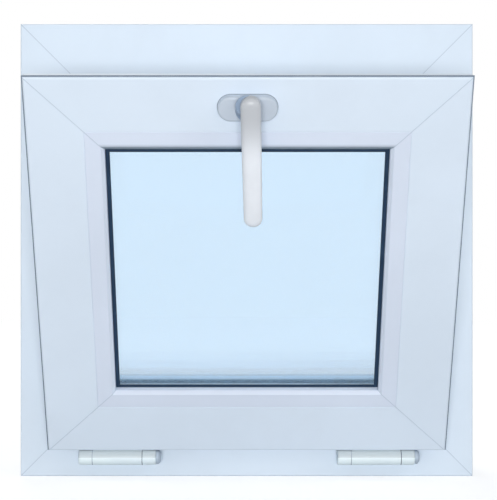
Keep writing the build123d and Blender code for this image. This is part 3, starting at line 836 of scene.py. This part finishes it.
class WINDOW_OT_handle(bpy.types.Operator):
    """Make the lever with its neck, and the rosette under it"""

    bl_idname = "window.handle"
    bl_label = "Handle"

    def execute(self, context):
        colours = context.scene.window_colours
        sizes = context.scene.window_sizes
        # Painted shade: the lever's upper part is coloured darker, fading out towards its middle.
        painted_shade_above = (HANDLE_HEIGHT - 52 * MM, HANDLE_HEIGHT + 4 * MM, 0.66)
        white = moulded_plastic("powder_coat", colours.handle, 0.3, True, 0.6, painted_shade_above)
        # Painted shade: the neck's grey-blue stands for shade on the lever's white metal.
        shaded = moulded_plastic("neck_shade_coat", colours.neck, 0.34, True, 0.5)
        # Partly painted shade: the rosette is coloured greyer than the lever.
        grey = moulded_plastic("rosette_shaded_plastic", colours.rosette, 0.4, True, 0.5)
        # Painted shadow: the dark plate's colour stands for the shade round the rosette.
        foot = moulded_plastic("rosette_shadow_plastic", colours.rosette_shadow_plate, 0.5, True, 0.4)
        lever = self.make_grip(sizes)
        tilt(lever)
        hand_over(lever, "handle", white, ["handle_lever"])
        neck = join([self.make_neck(sizes), self.make_flange(sizes)])
        tilt(neck)
        hand_over(neck, "handle", shaded)
        rosette = stadium(
            "rosette", sizes.rosette_length, sizes.rosette_width, sizes.rosette_height, 2.6 * MM, 5
        )
        # The plate reaches past the rosette by a narrow rim, a painted shadow outline.
        rim = 1.5 * MM
        plate = stadium(
            "rosette_shadow_plate", sizes.rosette_length + rim, sizes.rosette_width + rim, 1 * MM, 0.4 * MM, 2
        )
        on_sash = Matrix.Translation((0, SASH_FACE, HANDLE_HEIGHT))
        for piece, material, nodes in ((rosette, grey, ["handle_rosette"]), (plate, foot, [])):
            cut(piece, [disc("cutter", 10.1 * MM, 60 * MM, 48, (0, 30 * MM, 0))])
            carry(piece, opened() @ on_sash)
            hand_over(piece, "sash", material, nodes)
        paint(zinc_plate("spindle_zinc", colours.zinc), "handle_spindle")
        return {"FINISHED"}

    def make_grip(self, sizes):
        """The lever: a round head drawn down to its tip, rounded on both faces, its lower part bowed."""
        head = sizes.lever_head
        front_rounding = 5 * MM
        body = sizes.lever_thickness - front_rounding
        middle = LEVER_BACK - body / 2
        head_height = HANDLE_HEIGHT + LEVER_RISE
        tip_height = head_height - LEVER_DROP
        grip = disc("lever", head, body, 40, (LEVER_LEAN, LEVER_BACK, head_height))
        edit(grip)
        pick(grip, "VERT", lambda point: point.z < head_height)
        move(x=LEVER_LEAN, z=-LEVER_DROP)
        share = sizes.lever_tip / head
        tip = (2 * LEVER_LEAN, middle, tip_height)
        bpy.ops.transform.resize(value=(share, 1, share), center_override=tip)
        pick(grip, "FACE", lambda middle, normal: normal.y < -0.9)
        swept_rounding(grip, 7.6 * MM, front_rounding, 6)
        pick(grip, "FACE", lambda middle, normal: normal.y > 0.9)
        swept_rounding(grip, 2.5 * MM, 2.2 * MM, 3)
        for step in range(1, LEVER_STEPS):
            level = head_height - LEVER_DROP * step / LEVER_STEPS
            bpy.ops.mesh.select_all(action="SELECT")
            bpy.ops.mesh.bisect(plane_co=(0, 0, level), plane_no=(0, 0, 1), use_fill=False)
        # The lower two thirds bend away from the sash, in small steps
        bent = range(LEVER_STEPS // 3, LEVER_STEPS)
        for step in bent:
            level = head_height - LEVER_DROP * (step - 0.5) / LEVER_STEPS
            pick(grip, "VERT", lambda point: point.z < level)
            move(y=-sizes.lever_bow / len(bent))
        bpy.ops.object.mode_set(mode="OBJECT")
        return grip

    def make_neck(self, sizes):
        """The neck that leans from the rosette up to the lever's head."""
        radius = sizes.neck_radius - 0.8 * MM
        neck = disc("lever_neck", radius, 14 * MM, 48, (0, ROSETTE_TOP, HANDLE_HEIGHT))
        edit(neck)
        pick(neck, "VERT", lambda point: point.y < ROSETTE_TOP - 1 * MM)
        move(x=-0.9 * MM, z=9.8 * MM)
        pick(neck, "FACE", lambda middle, normal: normal.y < -0.9)
        swept_rounding(neck, 1.2 * MM, 1.2 * MM, 4)
        pick(neck, "FACE", lambda middle, normal: normal.y > 0.9)
        bpy.ops.mesh.inset(thickness=3 * MM, use_even_offset=True)
        bpy.ops.mesh.extrude_region_move(TRANSFORM_OT_translate={"value": (0, 4 * MM, 0)})
        bpy.ops.object.mode_set(mode="OBJECT")
        return neck

    def make_flange(self, sizes):
        """The neck's round foot on the rosette, with a rounded rim."""
        place = (0, ROSETTE_TOP, HANDLE_HEIGHT)
        flange = disc("lever_flange", sizes.neck_radius, 1.8 * MM, 48, place)
        edit(flange)
        pick(flange, "FACE", lambda middle, normal: normal.y < -0.9)
        swept_rounding(flange, 0.9 * MM, 0.9 * MM, 4)
        bpy.ops.object.mode_set(mode="OBJECT")
        return flange


# Hinges, stays and other fittings

class WINDOW_OT_hinges(bpy.types.Operator):
    """Finish the hinges, and make the washers in their seams"""

    bl_idname = "window.hinges"
    bl_label = "Hinges"

    def execute(self, context):
        colours = context.scene.window_colours
        # Painted shade: the upper half of each hinge cover is coloured darker, for the shade under the sash.
        shaded_upper_half = (26.9 * MM, 27.5 * MM, 0.68)
        cover = moulded_plastic("hinge_cover", colours.hinge, 0.36, False, painted_shade_above=shaded_upper_half)
        # Partly painted shade: the pin heads are coloured grey-blue for the shaded end of each hinge.
        pin = moulded_plastic("hinge_pin", colours.hinge_pin, 0.42, False)
        # Painted shade: the right seams' washers are coloured dark for the shadow in those seams.
        washers = {
            "left": rubber("washer_left", colours.washer_left, colours.hinge_pin, False),
            "right": rubber("washer_right_shaded", colours.washer_right_shaded, colours.hinge_pin, False),
        }
        washer = button("washer", 9.65 * MM, WASHER_THICKNESS, 0.15 * MM, 0, 40)
        for hand, sign in HANDS.items():
            paint(cover, f"hinge_{hand}_frame_part", f"hinge_{hand}_sash_part")
            paint(pin, f"hinge_{hand}_pin")
            for seam, side in HANDS.items():
                across = sign * HINGE_OUT + side * HINGE_SEAM - WASHER_THICKNESS / 2
                place = Vector((across, *HINGE_AXIS.yz))
                piece = copied(washer, f"hinge_{hand}_washer_{seam}")
                carry(piece, facing(place, (1, 0, 0), (0, 0, 1)))
                hand_over(piece, "frame", washers[seam])
        bpy.data.objects.remove(washer)
        return {"FINISHED"}


class WINDOW_OT_stays(bpy.types.Operator):
    """Finish the stays, and make their rivets, ribs and screws"""

    bl_idname = "window.stays"
    bl_label = "Stays"

    def execute(self, context):
        colours = context.scene.window_colours
        sizes = context.scene.window_sizes
        fixed = zinc_plate("stay_zinc", colours.zinc, False)
        moved = zinc_plate("guide_zinc", colours.zinc, True)
        along = Vector((0, -sin(STAY_LEAN), cos(STAY_LEAN)))
        upright = (0, 0, 1)
        rivets = {}
        bracket_screws = {}
        guide_screws = {}
        for hand, sign in HANDS.items():
            paint(fixed, f"stay_bracket_{hand}", f"stay_arm_{hand}")
            paint(moved, f"stay_guide_{hand}")
            body = f"stay_{hand}"
            inwards = (-sign, 0, 0)
            outwards = (sign, 0, 0)

            def beside(start, across, height=0.0):
                return start + Vector((sign * across * MM, 0, height * MM))

            rivets[f"{body}_rivet"] = facing(beside(STAY_PIVOT, 202.8), inwards, upright)
            for level, way in (("low", -1), ("high", 1)):
                place = beside(STAY_PIVOT, 209.1, way * 18)
                bracket_screws[f"{body}_screw_{level}"] = facing(place, inwards, upright)
                place = beside(GUIDE_CENTRE, 197.9, way * 40.5)
                guide_screws[f"guide_{hand}_screw_{level}"] = facing(place, outwards, upright)
            rib = stadium("rib", 140 * MM, 4.6 * MM, 0.9 * MM, 0.7 * MM, 3, 24)
            place = beside(STAY_PIVOT, 203.7) + along * STAY_REACH / 2
            set_copies(rib, {f"{body}_rib": facing(place, inwards, along)}, body, fixed)
            stud = button("stud", 4.6 * MM, 1.2 * MM, 0.7 * MM, 0.4 * MM)
            place = beside(STAY_PIVOT, 206.2) + along * STAY_REACH
            set_copies(stud, {f"{body}_stud": facing(place, outwards, along)}, body, fixed)
        rivet = button("rivet", 4.4 * MM, 1.2 * MM, 0.8 * MM, 0.4 * MM)
        set_copies(rivet, rivets, "frame", fixed)
        set_copies(screw("screw", sizes.screw_radius), bracket_screws, "frame", fixed)
        set_copies(screw("screw", sizes.screw_radius), guide_screws, "sash", moved, True)
        return {"FINISHED"}


class WINDOW_OT_locks(bpy.types.Operator):
    """Finish the lock rail, its cams and keeps, and make their screws"""

    bl_idname = "window.locks"
    bl_label = "Lock"

    def execute(self, context):
        colours = context.scene.window_colours
        sizes = context.scene.window_sizes
        fixed = zinc_plate("keep_zinc", colours.zinc, False)
        moved = zinc_plate("rail_zinc", colours.zinc, True)
        paint(moved, "lock_rail", "lock_cam_left", "lock_cam_right")
        paint(fixed, "keep_left", "keep_right")
        keep_screws = {}
        cam_studs = {}
        rail_screws = {}

        def on_groove(across, height, normal):
            return facing(Vector((across * MM, GROOVE_LINE, height * MM)), normal, (1, 0, 0))

        for hand, sign in HANDS.items():
            for end, offset in (("inner", 129), ("outer", 151)):
                keep_screws[f"keep_{hand}_screw_{end}"] = on_groove(sign * offset, 483.1, (0, 0, -1))
            cam_studs[f"lock_cam_{hand}_stud"] = on_groove(sign * 110, 478.4, (0, 0, 1))
        for number, across in enumerate((-146, -52, 52, 146), 1):
            rail_screws[f"lock_rail_screw_{number}"] = on_groove(across, 472.9, (0, 0, 1))
        set_copies(screw("screw", sizes.screw_radius), keep_screws, "frame", fixed)
        set_copies(screw("screw", sizes.screw_radius), rail_screws, "sash", moved, True)
        stud = button("stud", 3.6 * MM, 0.8 * MM, 0.5 * MM, 0.4 * MM)
        set_copies(stud, cam_studs, "sash", moved, True)
        return {"FINISHED"}


class WINDOW_OT_caps(bpy.types.Operator):
    """Make the louvred caps over the drain slots, and the caps in the frame's fixing holes"""

    bl_idname = "window.caps"
    bl_label = "Caps"

    def execute(self, context):
        colours = context.scene.window_colours
        sizes = context.scene.window_sizes
        white = moulded_plastic("cap_plastic", colours.drain_cap, 0.45, False)
        hood = stadium("drain_hood", sizes.drain_length, 12 * MM, 4 * MM, 1.5 * MM)
        slit = (0.62 * sizes.drain_length, 3 * MM, 1.1 * MM)
        slope = (radians(-35), 0, 0)
        cut(hood, [block(slit, (0, -3.8 * MM, level * MM), slope) for level in (-2.8, 0, 2.8)])
        for hand, sign in HANDS.items():
            piece = copied(hood, f"drain_hood_{hand}")
            carry(piece, facing(Vector((sign * 150 * MM, 35 * MM, 24 * MM)), (0, 1, 0), (-1, 0, 0)))
            hand_over(piece, "frame", white, [f"drain_cap_{hand}"])
        bpy.data.objects.remove(hood)
        cap = button("fixing_cap", sizes.fixing_cap, 1.6 * MM, 0.9 * MM, 0.5 * MM)
        places = {}
        for hand, sign in HANDS.items():
            for level, height in (("low", 125), ("high", 425)):
                place = Vector((sign * 211 * MM, 0, height * MM))
                places[f"fixing_cap_{hand}_{level}"] = facing(place, (-sign, 0, 0), (0, 0, 1))
        set_copies(cap, places, "frame", white)
        return {"FINISHED"}


class WINDOW_PT_panel(bpy.types.Panel):
    """The window's pieces, in the sidebar"""

    bl_idname = "WINDOW_PT_panel"
    bl_label = "Window"
    bl_space_type = "VIEW_3D"
    bl_region_type = "UI"
    bl_category = "Window"

    def draw(self, context):
        for operator in OPERATORS:
            self.layout.operator(operator.bl_idname)
        for group in (context.scene.window_colours, context.scene.window_sizes):
            for name in group.bl_rna.properties.keys():
                if name not in ("rna_type", "name"):
                    self.layout.prop(group, name)


OPERATORS = (
    WINDOW_OT_stage,
    WINDOW_OT_profiles,
    WINDOW_OT_glazing,
    WINDOW_OT_handle,
    WINDOW_OT_hinges,
    WINDOW_OT_stays,
    WINDOW_OT_locks,
    WINDOW_OT_caps,
)
CLASSES = (WindowColours, WindowSizes, *OPERATORS, WINDOW_PT_panel)


def register():
    for item in CLASSES:
        bpy.utils.register_class(item)
    bpy.types.Scene.window_colours = bpy.props.PointerProperty(type=WindowColours)
    bpy.types.Scene.window_sizes = bpy.props.PointerProperty(type=WindowSizes)


def unregister():
    del bpy.types.Scene.window_sizes
    del bpy.types.Scene.window_colours
    for item in reversed(CLASSES):
        bpy.utils.unregister_class(item)


def main():
    register()
    bpy.ops.window.stage()
    bpy.ops.window.profiles()
    bpy.ops.window.glazing()
    bpy.ops.window.handle()
    bpy.ops.window.hinges()
    bpy.ops.window.stays()
    bpy.ops.window.locks()
    bpy.ops.window.caps()


if __name__ == "__main__":
    main()
